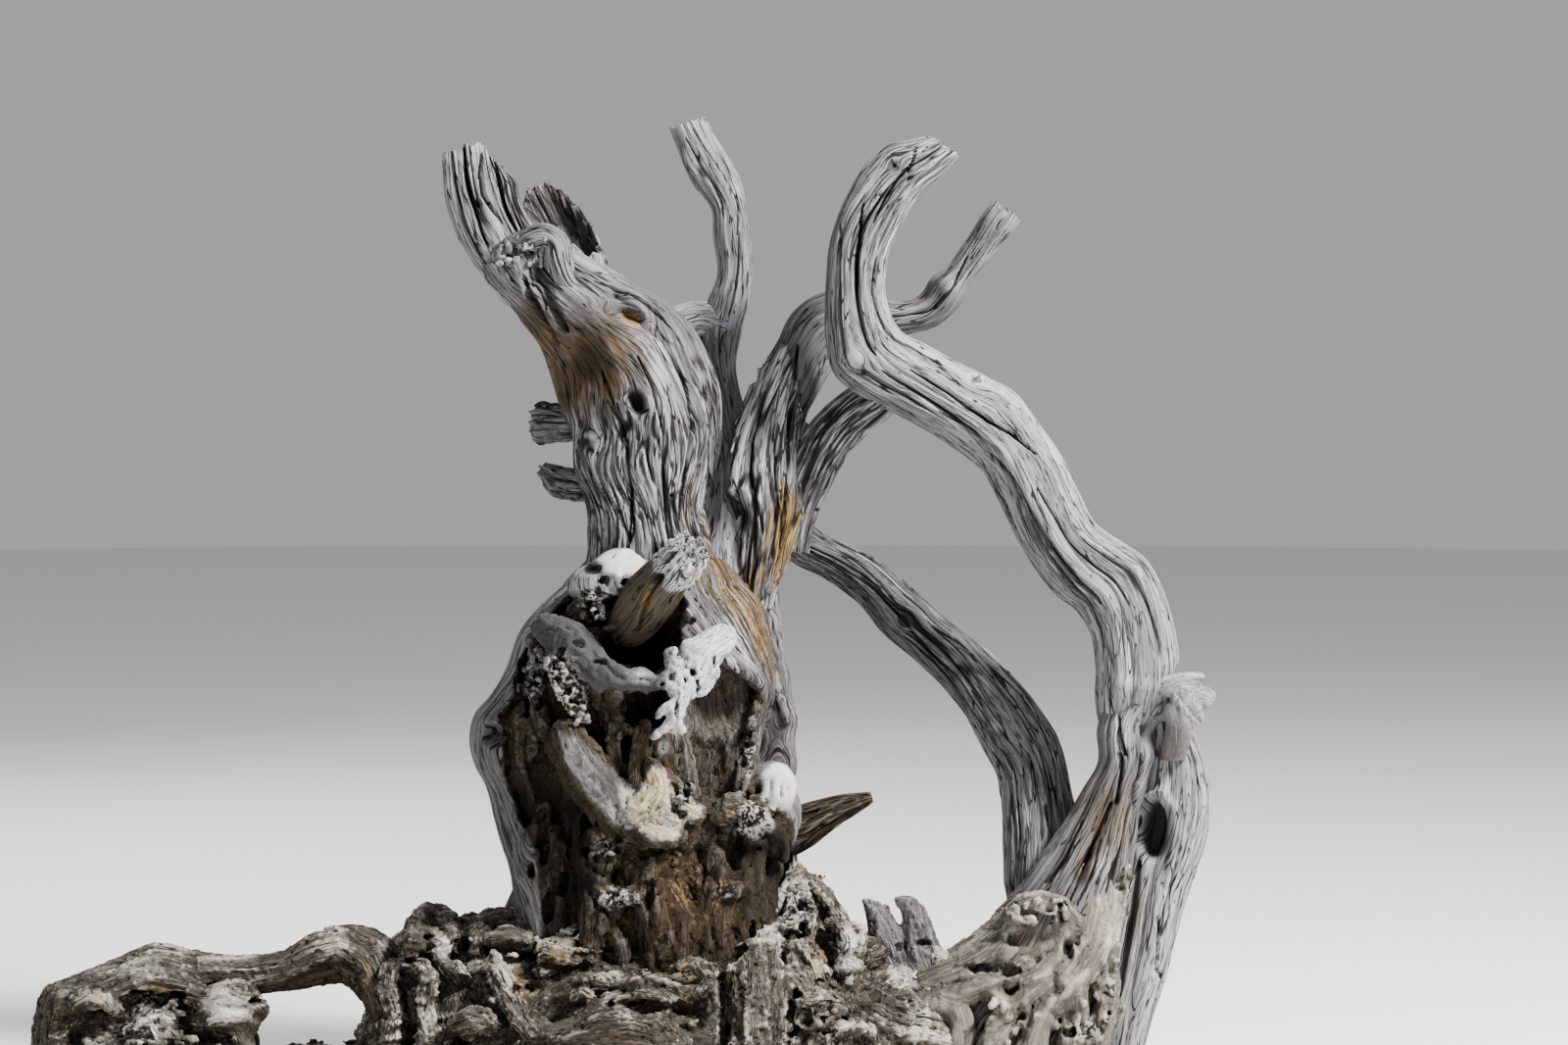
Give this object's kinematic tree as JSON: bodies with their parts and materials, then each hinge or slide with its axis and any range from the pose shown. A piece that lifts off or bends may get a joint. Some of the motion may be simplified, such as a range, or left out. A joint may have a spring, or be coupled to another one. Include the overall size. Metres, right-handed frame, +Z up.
{
  "type": "piece of deadwood",
  "caption": "Weathered, gnarled deadwood: a craggy root crown cut flat, a swollen burl, a hollow broken trunk, and a long arching limb that comes back down to the roots.",
  "frame": {"origin": "on the flat cut under the root crown, below the middle of the burl", "axes": "+Z up, +X to the right of the front view along the piece's length, +Y away from the viewer"},
  "size_m": [1.2026, 0.381, 1.0105],
  "materials": {
    "silver_wood": "bare weathered wood, silver grey with dark drying checks along the grain",
    "pale_wood": "bare sun-bleached wood, near white on its ridges",
    "brown_root": "rough crumbling root wood, brown to orange-brown, with pale worn edges"
  },
  "bodies": {
    "root": {"burl": "silver_wood", "left_trunk": "silver_wood", "middle_limb": "silver_wood", "brace_limb": "silver_wood", "hollow_stub": "silver_wood", "upper_knot": "silver_wood", "lower_knot": "silver_wood", "rear_limb": "silver_wood", "right_limb_front": "silver_wood", "claw_root": "silver_wood", "arch_limb": "pale_wood", "right_limb_back": "pale_wood", "knot_stub": "pale_wood", "rear_branch": "pale_wood", "broken_spike": "pale_wood", "burl_knob": "pale_wood", "antler_root": "pale_wood", "root_crown": "brown_root", "left_root": "brown_root", "root_spike": "brown_root"}
  },
  "joints": []
}
